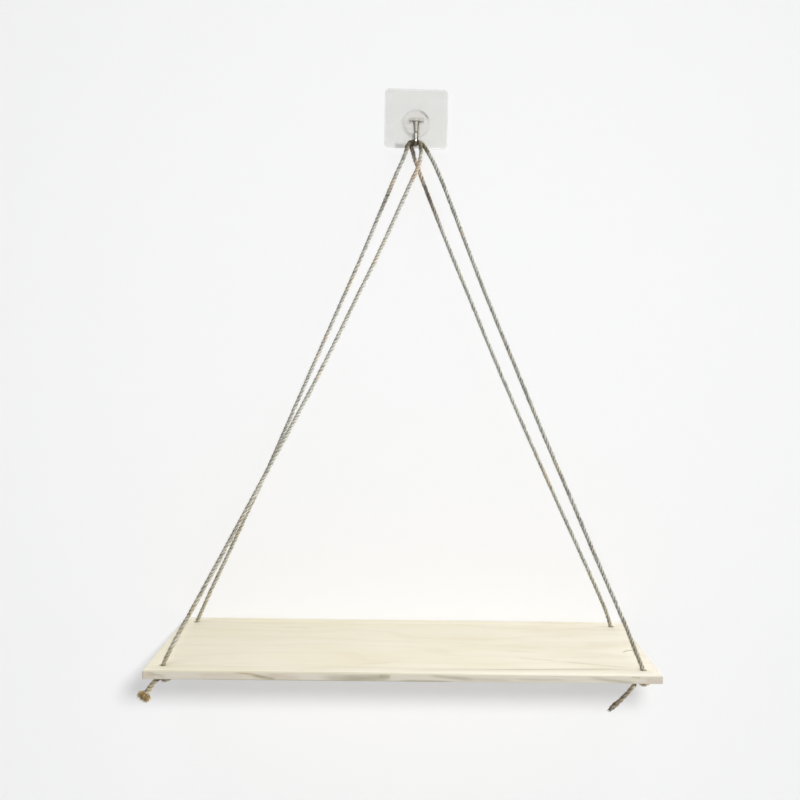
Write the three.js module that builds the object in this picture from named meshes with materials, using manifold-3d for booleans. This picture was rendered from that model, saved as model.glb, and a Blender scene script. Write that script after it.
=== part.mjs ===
// Hanging rope shelf: a drilled board on two ropes that hang from one hook on a wall plate.
// Millimetres, +X right, +Y into the wall, +Z up. Origin at the centre of the pad's face on the wall.
import * as THREE from "three";
import { mergeVertices } from "three/addons/utils/BufferGeometryUtils.js";
import Module from "manifold-3d";

const wasm = await Module();
wasm.setup();

// Wall plate and its pad
const plate_width = 60;
const plate_height = 56;
const plate_thickness = 1.5;
const plate_corner = 4;
const plate_arris = 0.4;
const pad_thickness = 0.8;
const pad_margin = 1;

// Dome cap, the round boss that holds the head of the hook
const cap_radius = 13;
const cap_height = 7.2;
const cap_round = 4.2;
const cap_drop = 5.5;
const head_clearance = 0.4;
const slot_clearance = 0.5;

// Hook, bent from one flat steel strip
const head_length = 14.2;
const head_diameter = 3.8;
const head_round = 0.8;
const head_drop = 2;
const strip_width = 4.2;
const strip_thickness = 2.4;
const shoulder_width = 6.2;
const shoulder_length = 9;
const throat_width = 8.4;
const throat_bend = 2.6;
const seat_drop = 25;
const prong_height = 9.6;

// Board
const board_width = 420;
const board_depth = 140;
const board_thickness = 7;
const board_arris = 0.4;
const board_drop = 481;
const hole_diameter = 5.2;
const hole_inset = 13;

// Rope
const rope_diameter = 3.2;
const rope_gap = 0.45;
const rope_pitch = 3.7;
const joint_gap = 0.5;
const bight_leave_degrees = 110;

// Knot, an overhand knot pulled flat under the board
const knot_ring = 4.3;
const knot_swell = 2;
const knot_rise = 2;
const knot_gap = 0.35;
const knot_start = 0.6;
const knot_offset = 6.15;
const knot_entry_degrees = -134.3;
const knot_dip_shares = [
  [0, 0.21],
  [0.3, 0.76],
];

// Motion
const swing_limit_degrees = 60;

// Sides and steps of the round shapes
const round_segments = 48;
const rope_sides = 8;
const steps_between_points = 2;
const bight_steps = 8;
const knot_steps = 20;
const samples_between_points = 16;

// Places that follow from the sizes above
const rope_radius = rope_diameter / 2;
const plate_back = -pad_thickness;
const plate_front = plate_back - plate_thickness;
const head_y = plate_front - head_clearance - head_diameter / 2;
const head_z = -head_drop;
const seat_z = head_z - seat_drop;
const bend_radius = throat_bend + strip_thickness / 2;
const prong_y = head_y - throat_width - strip_thickness;
const seat_y = (head_y + prong_y) / 2;
const board_top = -board_drop;
const board_bottom = board_top - board_thickness;
const hole_x = board_width / 2 - hole_inset;
const hole_back_y = -hole_inset;
const hole_front_y = hole_inset - board_depth;
const rope_end_z = board_bottom + board_thickness / 4;
const knot_z = board_bottom - knot_gap - rope_radius - knot_rise;

// Materials
function material(color, roughness, metalness = 0, opacity = 1) {
  return new THREE.MeshStandardMaterial({
    color,
    roughness,
    metalness,
    opacity,
    transparent: opacity < 1,
  });
}
const clear_film = material("#e6e7e4", 0.3, 0, 0.5);
const clear_plastic = material("#e9eae7", 0.12, 0, 0.5);
const steel = material("#b9b8b2", 0.22, 1);
const pine = material("#ede3c8", 0.62);
const jute = material("#9f9380", 0.95);

// Solids: closed geometry in, closed geometry out
function solidOf(geometry) {
  const bare = geometry.clone();
  bare.deleteAttribute("normal");
  bare.deleteAttribute("uv");
  const merged = mergeVertices(bare);
  const corners = merged.index.array;
  const kept = [];
  for (let i = 0; i < corners.length; i += 3) {
    const [a, b, c] = corners.slice(i, i + 3);
    if (a !== b && b !== c && c !== a) kept.push(a, b, c);
  }
  return new wasm.Manifold(
    new wasm.Mesh({
      numProp: 3,
      vertProperties: merged.attributes.position.array,
      triVerts: new Uint32Array(kept),
    }),
  );
}

function geometryOf(solid) {
  const mesh = solid.getMesh();
  const geometry = new THREE.BufferGeometry();
  geometry.setAttribute("position", new THREE.BufferAttribute(mesh.vertProperties, 3));
  geometry.setIndex(new THREE.BufferAttribute(mesh.triVerts, 1));
  geometry.computeVertexNormals();
  return geometry;
}

function piece(name, geometry, finish) {
  const mesh = new THREE.Mesh(geometry, finish);
  mesh.name = name;
  return mesh;
}

// A rectangle with round corners, centred on the origin
function roundedRectangle(width, height, corner) {
  const x = width / 2 - corner;
  const y = height / 2 - corner;
  const shape = new THREE.Shape();
  shape.absarc(x, -y, corner, -Math.PI / 2, 0);
  shape.absarc(x, y, corner, 0, Math.PI / 2);
  shape.absarc(-x, y, corner, Math.PI / 2, Math.PI);
  shape.absarc(-x, -y, corner, Math.PI, 1.5 * Math.PI);
  shape.closePath();
  return shape;
}

// A slab whose outline stands in the XZ plane: its back lies at y, and it grows towards the viewer
function uprightSlab(shape, thickness, arris, y) {
  const geometry = new THREE.ExtrudeGeometry(shape, {
    depth: thickness - 2 * arris,
    bevelEnabled: arris > 0,
    bevelThickness: arris,
    bevelSize: arris,
    bevelOffset: -arris,
    bevelSegments: 2,
    curveSegments: round_segments / 8,
  });
  geometry.rotateX(Math.PI / 2);
  geometry.translate(0, y - arris, 0);
  return geometry;
}

// A round bar along X
function bar(radius, length) {
  const geometry = new THREE.CylinderGeometry(radius, radius, length, round_segments / 2);
  geometry.rotateZ(Math.PI / 2);
  return geometry;
}

// Wall parts
function adhesivePad() {
  const shape = roundedRectangle(
    plate_width - 2 * pad_margin,
    plate_height - 2 * pad_margin,
    plate_corner - pad_margin,
  );
  return uprightSlab(shape, pad_thickness, 0, 0);
}

function wallPlate() {
  const shape = roundedRectangle(plate_width, plate_height, plate_corner);
  return uprightSlab(shape, plate_thickness, plate_arris, plate_back);
}

function domeCap() {
  const profile = new THREE.Path();
  profile.moveTo(0, -cap_height);
  profile.lineTo(cap_radius - cap_round, -cap_height);
  profile.absarc(cap_radius - cap_round, cap_round - cap_height, cap_round, -Math.PI / 2, 0);
  profile.lineTo(cap_radius, 0);
  profile.lineTo(0, 0);
  const dome = new THREE.LatheGeometry(profile.getPoints(round_segments / 6), round_segments);
  dome.translate(0, plate_front, -cap_drop);

  // the pocket for the T head, open to the plate behind it
  const pocket_radius = head_diameter / 2 + head_clearance;
  const pocket_length = head_length + 2 * head_clearance;
  const pocket = bar(pocket_radius, pocket_length);
  pocket.translate(0, head_y, head_z);
  const way_in = new THREE.BoxGeometry(pocket_length, cap_height, 2 * pocket_radius);
  way_in.translate(0, head_y + cap_height / 2, head_z);

  // the slot that the stem swings through, from hanging down to its stop
  const slot_half = strip_thickness / 2 + slot_clearance;
  const reach = 2 * cap_radius;
  const stop = THREE.MathUtils.degToRad(swing_limit_degrees);
  const stop_y = -Math.sin(stop);
  const stop_z = -Math.cos(stop);
  const outline = new THREE.Shape();
  outline.moveTo(head_y + slot_half, head_z);
  outline.lineTo(head_y + slot_half, head_z - reach);
  outline.lineTo(head_y - reach, head_z - reach);
  outline.lineTo(
    head_y + stop_y * reach + stop_z * slot_half,
    head_z + stop_z * reach - stop_y * slot_half,
  );
  outline.lineTo(head_y + stop_z * slot_half, head_z - stop_y * slot_half);
  const slot_width = shoulder_width + 2 * slot_clearance;
  const slot = new THREE.ExtrudeGeometry(outline, { depth: slot_width, bevelEnabled: false });
  slot.applyMatrix4(
    new THREE.Matrix4().makeBasis(
      new THREE.Vector3(0, 1, 0),
      new THREE.Vector3(0, 0, 1),
      new THREE.Vector3(1, 0, 0),
    ),
  );
  slot.translate(-slot_width / 2, 0, 0);
  return geometryOf(
    solidOf(dome).subtract(solidOf(pocket)).subtract(solidOf(way_in)).subtract(solidOf(slot)),
  );
}

// The middle line of the hook's strip: down the stem, round the flat-bottomed throat and up the prong
class HookLine extends THREE.Curve {
  constructor() {
    super();
    this.stem = seat_drop - bend_radius;
    this.quarter = (bend_radius * Math.PI) / 2;
    this.flat = throat_width + strip_thickness - 2 * bend_radius;
    this.prong = prong_height - bend_radius;
    this.total = this.stem + 2 * this.quarter + this.flat + this.prong;
  }

  getPoint(t, target = new THREE.Vector3()) {
    const bend_z = seat_z + bend_radius;
    let left = t * this.total;
    if (left <= this.stem) return target.set(0, head_y, head_z - left);
    left -= this.stem;
    if (left <= this.quarter) {
      const turn = left / bend_radius;
      const y = head_y - bend_radius * (1 - Math.cos(turn));
      return target.set(0, y, bend_z - bend_radius * Math.sin(turn));
    }
    left -= this.quarter;
    if (left <= this.flat) return target.set(0, head_y - bend_radius - left, seat_z);
    left -= this.flat;
    if (left <= this.quarter) {
      const turn = left / bend_radius;
      const y = prong_y + bend_radius * (1 - Math.sin(turn));
      return target.set(0, y, bend_z - bend_radius * Math.cos(turn));
    }
    return target.set(0, prong_y, bend_z + left - this.quarter);
  }
}

function hook() {
  const line = new HookLine();
  const section = new THREE.Shape();
  section.absellipse(0, 0, strip_thickness / 2, strip_width / 2, 0, 2 * Math.PI);
  const strip = new THREE.ExtrudeGeometry(section, {
    steps: round_segments,
    curveSegments: round_segments / 6,
    extrudePath: line,
  });

  // the rounded tip of the prong
  const tip = new THREE.SphereGeometry(strip_width / 2, round_segments / 3, round_segments / 4);
  tip.rotateX(Math.PI / 2);
  tip.scale(1, strip_thickness / strip_width, 1);
  tip.translate(0, prong_y, seat_z + prong_height);

  // the T head, with its ends rounded over
  const end = head_length / 2;
  const radius = head_diameter / 2;
  const outline = new THREE.Path();
  outline.moveTo(0, -end);
  outline.lineTo(radius - head_round, -end);
  outline.absarc(radius - head_round, head_round - end, head_round, -Math.PI / 2, 0);
  outline.absarc(radius - head_round, end - head_round, head_round, 0, Math.PI / 2);
  outline.lineTo(0, end);
  const head = new THREE.LatheGeometry(outline.getPoints(round_segments / 8), round_segments / 2);
  head.rotateZ(Math.PI / 2);
  head.translate(0, head_y, head_z);

  // the shoulder that narrows from the head to the strip
  const flare = new THREE.Shape();
  flare.moveTo(-shoulder_width / 2, 0);
  flare.lineTo(-strip_width / 2 + head_round, -shoulder_length);
  flare.lineTo(strip_width / 2 - head_round, -shoulder_length);
  flare.lineTo(shoulder_width / 2, 0);
  flare.closePath();
  const shoulder = uprightSlab(flare, strip_thickness, plate_arris, head_y + strip_thickness / 2);
  shoulder.translate(0, 0, head_z);
  return geometryOf(
    solidOf(strip).add(solidOf(tip)).add(solidOf(head)).add(solidOf(shoulder)),
  );
}

// Board
function board() {
  const shape = new THREE.Shape();
  shape.moveTo(-board_width / 2, -board_depth);
  shape.lineTo(board_width / 2, -board_depth);
  shape.lineTo(board_width / 2, 0);
  shape.lineTo(-board_width / 2, 0);
  shape.closePath();
  for (const x of [-hole_x, hole_x]) {
    for (const y of [hole_back_y, hole_front_y]) {
      const hole = new THREE.Path();
      hole.absarc(x, y, hole_diameter / 2, 0, 2 * Math.PI);
      shape.holes.push(hole);
    }
  }
  const geometry = new THREE.ExtrudeGeometry(shape, {
    depth: board_thickness - 2 * board_arris,
    bevelThickness: board_arris,
    bevelSize: board_arris,
    bevelOffset: -board_arris,
    bevelSegments: 1,
    curveSegments: round_segments / 2,
  });
  geometry.translate(0, 0, board_bottom + board_arris);
  return geometry;
}

// A rope's route, sampled evenly between its points, so that the tight bends get their share of steps
class Route extends THREE.CatmullRomCurve3 {
  constructor(points) {
    super(points.map((p) => new THREE.Vector3(...p)), false, "centripetal");
  }

  getPointAt(u, target) {
    return this.getPoint(u, target);
  }

  getTangentAt(u, target) {
    return this.getTangent(u, target);
  }
}

function tube(route) {
  const section = new THREE.Shape();
  section.absarc(0, 0, rope_radius, 0, 2 * Math.PI);
  return new THREE.ExtrudeGeometry(section, {
    steps: (route.points.length - 1) * steps_between_points,
    curveSegments: rope_sides / 2,
    extrudePath: route,
  });
}

// Points along a route, each with its distance from the start
function samples(route) {
  let along = 0;
  return route.getPoints(route.points.length * samples_between_points).map((point, i, all) => {
    if (i > 0) along += point.distanceTo(all[i - 1]);
    return { point, along };
  });
}

// The least clear distance of a tube to itself, past the stretch that only follows its own bend
function leastGap(route) {
  const bend = (Math.PI / 2) * (rope_diameter + rope_gap);
  const all = samples(route);
  let least = Infinity;
  for (const [i, one] of all.entries()) {
    for (const other of all.slice(i + 1)) {
      if (other.along - one.along < bend) continue;
      least = Math.min(least, one.point.distanceTo(other.point) - rope_diameter);
    }
  }
  return least;
}

// The bight of a rope over the hook's seat, from one angle to the other, at one place along the seat
function bight(y, from_degrees, to_degrees) {
  const half_width = strip_width / 2 + rope_gap + rope_radius;
  const half_height = strip_thickness / 2 + rope_gap + rope_radius;
  const points = [];
  for (let i = 0; i <= bight_steps; i++) {
    const degrees = THREE.MathUtils.lerp(from_degrees, to_degrees, i / bight_steps);
    const angle = THREE.MathUtils.degToRad(degrees);
    points.push([half_width * Math.cos(angle), y, seat_z + half_height * Math.sin(angle)]);
  }
  return points;
}

// Each rope run is a list of points from the hook down to its hole; the left rope sits in front
const back_left_run = [
  [-5.2, -11.8, -24.9],
  [-7.9, -11.8, -28],
  [-9, -11.8, -33.4],
  [-12.2, -11.8, -42.2],
  [-20, -11.9, -60.7],
  [-46.2, -12, -127],
  [-66, -12.2, -174.4],
  [-85.8, -12.3, -221.9],
  [-105.6, -12.4, -269.4],
  [-129.2, -12.6, -326.6],
  [-154.1, -12.8, -383.8],
  [-170.9, -12.9, -422],
  [-183.9, -12.9, -450.7],
  [-189.6, -13, -464.2],
  [-193.8, -13, -474],
  [-196.4, -13, -480.4],
  [-197, -13, -484],
];
const front_left_run = [
  [4.5, -11.9, -29.5],
  [5.2, -12.7, -33],
  [4.9, -14.1, -38],
  [3.9, -15.9, -44],
  [2.2, -17.9, -50.5],
  [-2.9, -21.2, -62.3],
  [-30.5, -38.4, -129.9],
  [-51.3, -50.2, -176.6],
  [-71.3, -61.7, -222],
  [-91.9, -72.8, -266.2],
  [-125.4, -90, -334.5],
  [-169.2, -112.5, -423.6],
  [-183.9, -120, -452.6],
  [-190, -123.2, -465.2],
  [-194, -125.3, -474],
  [-196.4, -126.7, -480.4],
  [-197, -127, -484],
];
const back_right_run = [
  [-4.2, -8.1, -28.8],
  [-3.1, -8.1, -31.6],
  [-2.1, -8.2, -35],
  [-1.2, -8.2, -38.6],
  [1, -8.2, -44.2],
  [3.4, -8.3, -50.5],
  [7.3, -8.4, -60.7],
  [34.3, -9.1, -124.7],
  [55, -9.6, -171.6],
  [75.5, -10.2, -218.6],
  [96.8, -10.7, -265.7],
  [118.9, -11.2, -313],
  [141.4, -11.7, -360.4],
  [164.3, -12.2, -407.9],
  [186.9, -12.7, -455.6],
  [190.9, -12.9, -464.6],
  [194.3, -13, -474],
  [196.4, -13, -480.4],
  [197, -13, -484],
];
const front_right_run = [
  [5.2, -8.2, -24.7],
  [8.4, -8.4, -28.2],
  [11.8, -9.3, -33.4],
  [16.6, -12.4, -42.2],
  [24.8, -17.6, -60.8],
  [50.4, -35, -127.6],
  [68.4, -47, -173.8],
  [86.8, -58.7, -218.8],
  [104.9, -70.1, -262.7],
  [122.8, -81.2, -305.4],
  [140.6, -92.1, -347.1],
  [157.8, -102.7, -387.8],
  [175.1, -113, -427.4],
  [185.7, -119.6, -452.4],
  [190.6, -123.1, -465.2],
  [194.1, -125.3, -474],
  [196.4, -126.7, -480.4],
  [197, -127, -484],
];

function holeEnd(side, y) {
  return [side * hole_x, y, rope_end_z + joint_gap / 2];
}

function leftRope() {
  return new Route([
    holeEnd(-1, hole_back_y),
    ...[...back_left_run].reverse(),
    ...bight(seat_y - rope_pitch / 2, bight_leave_degrees, 0),
    ...front_left_run,
    holeEnd(-1, hole_front_y),
  ]);
}

function rightRope() {
  return new Route([
    holeEnd(1, hole_back_y),
    ...[...back_right_run].reverse(),
    ...bight(seat_y + rope_pitch / 2, 180, 180 - bight_leave_degrees),
    ...front_right_run,
    holeEnd(1, hole_front_y),
  ]);
}

// An overhand knot with its tail: a torus knot of three lobes that comes down out of the hole
function knot(side, hole_y, facing_degrees, tail) {
  const turn = THREE.MathUtils.degToRad(facing_degrees - knot_entry_degrees);
  const entry = THREE.MathUtils.degToRad(knot_entry_degrees);
  const entry_x = -knot_offset * Math.cos(entry);
  const entry_y = -knot_offset * Math.sin(entry);
  const place = (x, y, z) => [
    side * hole_x + (x - entry_x) * Math.cos(turn) - (y - entry_y) * Math.sin(turn),
    hole_y + (x - entry_x) * Math.sin(turn) + (y - entry_y) * Math.cos(turn),
    knot_z + z,
  ];
  const turns = [];
  for (let i = 0; i <= knot_steps; i++) {
    const angle = knot_start + (2 * (Math.PI - knot_start) * i) / knot_steps;
    const reach = knot_ring + knot_swell * Math.cos(3 * angle);
    turns.push([
      reach * Math.cos(2 * angle),
      reach * Math.sin(2 * angle),
      knot_rise * Math.sin(3 * angle),
    ]);
  }
  const top = rope_end_z - joint_gap / 2 - knot_z;
  const [first_x, first_y, first_z] = turns[0];
  const dip = knot_dip_shares.map(([side_share, down_share]) => [
    entry_x + (first_x - entry_x) * side_share,
    entry_y + (first_y - entry_y) * side_share,
    top + (first_z - top) * down_share,
  ]);
  const tied = [[entry_x, entry_y, top], ...dip, ...turns];
  return new Route([...tied.map((p) => place(...p)), ...tail]);
}

// Each tail is a list of points from its knot to its cut end
const back_left_tail = [
  [-193.5, -20.6, -493.9],
  [-187, -17.5, -496],
  [-182, -16, -503],
  [-179, -15, -512],
];
const front_left_tail = [
  [-200.5, -119.4, -493.9],
  [-204.8, -122, -496.7],
  [-208.8, -123, -502.2],
  [-212.6, -124, -508],
];
const back_right_tail = [
  [200.5, -20.6, -493.9],
  [206, -17, -497],
  [208.5, -16.5, -505],
  [209, -16, -514],
];
const front_right_tail = [
  [193.5, -119.4, -493.9],
  [189.6, -122.2, -497.7],
  [181.2, -124.3, -505.8],
  [170.4, -126, -514.8],
];
const knots = {
  back_left_knot: [-1, hole_back_y, -90, back_left_tail],
  front_left_knot: [-1, hole_front_y, 90, front_left_tail],
  back_right_knot: [1, hole_back_y, -90, back_right_tail],
  front_right_knot: [1, hole_front_y, 90, front_right_tail],
};

// The object
const shelf = new THREE.Group();
const anchor_group = new THREE.Group();
anchor_group.add(
  piece("adhesive_pad", adhesivePad(), clear_film),
  piece("wall_plate", wallPlate(), clear_plastic),
  piece("dome_cap", domeCap(), clear_plastic),
);
shelf.add(anchor_group);
shelf.add(piece("hook", hook(), steel));

const board_group = new THREE.Group();
board_group.add(piece("board", board(), pine));
for (const [name, route] of Object.entries({ left_rope: leftRope(), right_rope: rightRope() })) {
  board_group.add(piece(name, tube(route), jute));
  console.log(name, "length", samples(route).at(-1).along.toFixed(1));
}
for (const [name, place] of Object.entries(knots)) {
  const route = knot(...place);
  board_group.add(piece(name, tube(route), jute));
  console.log(name, "length", samples(route).at(-1).along.toFixed(1));
  console.log(name, "least gap", leastGap(route).toFixed(2));
}
shelf.add(board_group);

export default shelf;
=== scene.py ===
"""Looks for the hanging rope shelf: pine board, three-strand jute ropes, steel hook, clear plate and cap."""

import math
import random
from collections import namedtuple

import bmesh
import bpy
import numpy as np
from mathutils import Matrix, Vector, noise


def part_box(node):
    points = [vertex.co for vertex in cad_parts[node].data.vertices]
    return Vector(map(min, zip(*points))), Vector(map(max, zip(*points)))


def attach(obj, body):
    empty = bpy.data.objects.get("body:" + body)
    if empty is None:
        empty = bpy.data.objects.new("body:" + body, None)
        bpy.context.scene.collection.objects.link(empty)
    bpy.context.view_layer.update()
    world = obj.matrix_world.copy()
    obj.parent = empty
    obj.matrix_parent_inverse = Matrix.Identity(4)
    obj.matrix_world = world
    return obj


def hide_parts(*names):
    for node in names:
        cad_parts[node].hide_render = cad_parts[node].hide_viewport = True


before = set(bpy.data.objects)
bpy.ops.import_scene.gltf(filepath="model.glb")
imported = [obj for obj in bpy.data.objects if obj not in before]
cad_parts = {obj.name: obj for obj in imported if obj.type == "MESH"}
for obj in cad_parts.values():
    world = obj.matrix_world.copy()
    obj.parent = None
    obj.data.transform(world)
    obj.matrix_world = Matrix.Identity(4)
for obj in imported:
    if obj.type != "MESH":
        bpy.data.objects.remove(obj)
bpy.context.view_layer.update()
MM = 0.001
MM_IN_METRE = 1000


# Camera. The focal length and the centre are in pixels of the photograph's frame

FRAME_SIZE, FOCAL_LENGTH, FRAME_CENTRE = 800, 872.2, (435.3, 370.05)
CAMERA_PLACE = (-0.00391, -0.83785, -0.22173)
CAMERA_YAW, CAMERA_PITCH, CAMERA_ROLL = -0.03261, -0.02069, -0.02218
SENSOR_WIDTH = 36


def make_camera():
    """The photograph's camera."""
    data = bpy.data.cameras.new("camera")
    data.sensor_width = SENSOR_WIDTH
    data.lens = FOCAL_LENGTH / FRAME_SIZE * SENSOR_WIDTH
    data.shift_x = (FRAME_SIZE / 2 - FRAME_CENTRE[0]) / FRAME_SIZE
    data.shift_y = (FRAME_CENTRE[1] - FRAME_SIZE / 2) / FRAME_SIZE
    data.clip_start, data.clip_end = 0.01, 20
    yaw = Matrix.Rotation(CAMERA_YAW, 3, "Z")
    pitch = Matrix.Rotation(CAMERA_PITCH, 3, "X")
    roll = Matrix.Rotation(CAMERA_ROLL, 3, "Y")
    upright = Matrix.Rotation(math.pi / 2, 3, "X")
    camera = bpy.data.objects.new("camera", data)
    bpy.context.scene.collection.objects.link(camera)
    camera.matrix_world = Matrix.Translation(CAMERA_PLACE) @ (yaw @ pitch @ roll @ upright).to_4x4()
    bpy.context.scene.camera = camera


make_camera()


# Node materials


class Value:
    """A socket of a node tree, so that node maths reads as sums."""

    def __init__(self, tree, socket):
        self.tree, self.socket = tree, socket

    def math(self, operation, *others):
        node = self.tree.nodes.new("ShaderNodeMath")
        node.operation = operation
        for socket, value in zip(node.inputs, (self, *others)):
            plug(self.tree, socket, value)
        return Value(self.tree, node.outputs[0])

    def __add__(self, other):
        return self.math("ADD", other)

    def __sub__(self, other):
        return self.math("SUBTRACT", other)

    def __mul__(self, other):
        return self.math("MULTIPLY", other)

    def __truediv__(self, other):
        return self.math("DIVIDE", other)

    def __neg__(self):
        return self.math("MULTIPLY", -1)

    def __rsub__(self, other):
        return (-self).math("ADD", other)

    __radd__, __rmul__ = __add__, __mul__


def total(values):
    """The sum of some Values."""
    first, *others = values
    return sum(others, first)


def plug(tree, socket, value):
    """Links a Value into a socket, or sets a plain number, vector or colour there."""
    if isinstance(value, Value):
        tree.links.new(value.socket, socket)
    elif isinstance(value, (tuple, list)) and len(value) == 3 and socket.type == "RGBA":
        socket.default_value = (*value, 1)
    else:
        socket.default_value = value


def linear(r, g, b):
    """A colour as it is read off a screen, from 0 to 255, as a linear one."""
    return tuple((c / 255 / 12.92) if c <= 10 else ((c / 255 + 0.055) / 1.055) ** 2.4 for c in (r, g, b))


def shade(colour, share):
    """A lighter or darker version of a linear colour."""
    return tuple(min(1, c * share) for c in colour)


# The Mix node's sockets for colours, among those for numbers and vectors
MIX_A, MIX_B, MIX_RESULT = 6, 7, 2


class Nodes:
    """A node tree, with one method that adds any node."""

    def __init__(self, tree):
        self.tree = tree

    def node(self, kind, inputs, out=0, stops=(), **settings):
        """Adds a node: its settings or a ramp's stops first, then its sockets. out is the socket to read."""
        made = self.tree.nodes.new("ShaderNode" + kind)
        for key, value in settings.items():
            setattr(made, key, value)
        for _ in stops[2:]:
            made.color_ramp.elements.new(0.5)
        for k, (position, colour) in enumerate(stops):
            point = made.color_ramp.elements[k]
            point.position, point.color = position, (*colour, 1)
        for key, value in inputs.items():
            plug(self.tree, made.inputs[key], value)
        return Value(self.tree, made.outputs[out])

    def split(self, vector):
        """A vector's three parts."""
        first = self.node("SeparateXYZ", {0: vector})
        return [Value(self.tree, socket) for socket in first.socket.node.outputs]

    def at(self, x, y, z):
        return self.node("CombineXYZ", {0: x, 1: y, 2: z})

    def noise(self, vector, scale, detail, rough):
        inputs = {"Vector": vector, "Scale": scale, "Detail": detail, "Roughness": rough}
        return self.node("TexNoise", inputs)

    def ramp(self, value, *stops):
        """A colour for each value, from (position, colour) stops."""
        return self.node("ValToRGB", {0: value}, stops=stops)

    def step(self, value, low, high, soft=False):
        """0 below low, 1 above high."""
        kind = "SMOOTHSTEP" if soft else "LINEAR"
        inputs = {"Value": value, "From Min": low, "From Max": high}
        return self.node("MapRange", inputs, interpolation_type=kind)

    def blend(self, factor, a, b):
        """Colour a where the factor is 0, b where it is 1."""
        return self.node("Mix", {0: factor, MIX_A: a, MIX_B: b}, out=MIX_RESULT, data_type="RGBA")

    def coats(self, colour, *coats):
        """Coats laid over a colour in turn, each as its strength and its tone off a screen."""
        for strength, tone in coats:
            colour = self.blend(strength, colour, linear(*tone))
        return colour

    def light_path(self, question):
        return self.node("LightPath", {}, out=question)


class Look(Nodes):
    """A material and its Principled shader."""

    def __init__(self, name, **constants):
        self.material = bpy.data.materials.new(name)
        self.material.use_nodes = True
        super().__init__(self.material.node_tree)
        self.shader = next(n for n in self.tree.nodes if n.type == "BSDF_PRINCIPLED")
        self.set(**constants)

    def set(self, **values):
        for key, value in values.items():
            plug(self.tree, self.shader.inputs[key.replace("_", " ")], value)
        return self

    def place(self):
        """The point in the piece's own space, as x, y, z Values in mm."""
        return [value * MM_IN_METRE for value in self.split(self.node("TexCoord", {}, out="Object"))]

    def lay(self):
        """The piece's UV coordinates as two Values."""
        return self.split(self.node("UVMap", {}))[:2]

    def bump(self, height, distance, strength):
        """Relief from a height of 0 to 1, with its distance in mm."""
        inputs = {"Height": height, "Distance": distance * MM, "Strength": strength}
        return self.set(Normal=self.node("Bump", inputs))


# Meshes


def mesh_from(name, build):
    """A mesh that build(bm) shapes."""
    bm = bmesh.new()
    build(bm)
    mesh = bpy.data.meshes.new(name)
    bm.to_mesh(mesh)
    bm.free()
    return mesh


def add_object(name, mesh):
    made = bpy.data.objects.new(name, mesh)
    bpy.context.scene.collection.objects.link(made)
    return made


def finish_smooth(piece):
    piece.data.polygons.foreach_set("use_smooth", [True] * len(piece.data.polygons))


def finish_edges(piece, degrees):
    """Smooth shading that keeps the edges sharper than this."""
    finish_smooth(piece)
    piece.data.set_sharp_from_angle(angle=math.radians(degrees))


def make_piece(name, build, look, body):
    """A new piece from build(bm), riding on a body, with its material."""
    piece = add_object(name, mesh_from(name, build))
    finish_smooth(piece)
    piece.data.materials.append(look.material)
    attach(piece, body)
    return piece


def ease(bm, edges, offset, segments):
    """Rounds some edges."""
    bmesh.ops.bevel(
        bm, geom=list(edges), offset=offset, segments=segments, profile=0.5,
        affect="EDGES", clamp_overlap=True, material=-1,
    )


def raise_faces(bm, faces, offset):
    """Draws faces out by an offset, which gives them a thickness."""
    grown = bmesh.ops.extrude_face_region(bm, geom=faces)["geom"]
    moved = [v for v in grown if isinstance(v, bmesh.types.BMVert)]
    bmesh.ops.translate(bm, vec=offset, verts=moved)
    bmesh.ops.recalc_face_normals(bm, faces=bm.faces)


def carve(piece, *cutters):
    """Cuts closed shapes, each given as build(bm), out of a piece."""
    blocks = [add_object("cutter", mesh_from("cutter", build)) for build in cutters]
    for block in blocks:
        cut = piece.modifiers.new("cut", "BOOLEAN")
        cut.operation, cut.solver, cut.object = "DIFFERENCE", "EXACT", block
    evaluated = piece.evaluated_get(bpy.context.evaluated_depsgraph_get())
    carved = bpy.data.meshes.new_from_object(evaluated)
    piece.modifiers.clear()
    piece.data = carved
    for block in blocks:
        bpy.data.objects.remove(block)


def skin_rings(bm, rings, uv):
    """Joins rings of points by quads and closes both ends. uv(row, column) gives a corner its UV."""
    made = [[bm.verts.new(p) for p in ring] for ring in rings]
    layer = bm.loops.layers.uv.verify()
    count = len(made[0])
    for i in range(len(made) - 1):
        for k in range(count):
            n = (k + 1) % count
            face = bm.faces.new((made[i][k], made[i][n], made[i + 1][n], made[i + 1][k]))
            corners = ((i, k), (i, k + 1), (i + 1, k + 1), (i + 1, k))
            for loop, (row, column) in zip(face.loops, corners):
                loop[layer].uv = uv(row, column)
    bm.faces.new(reversed(made[0]))
    bm.faces.new(made[-1])


# Rope routes, in millimetres as in the source of the solids

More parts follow.
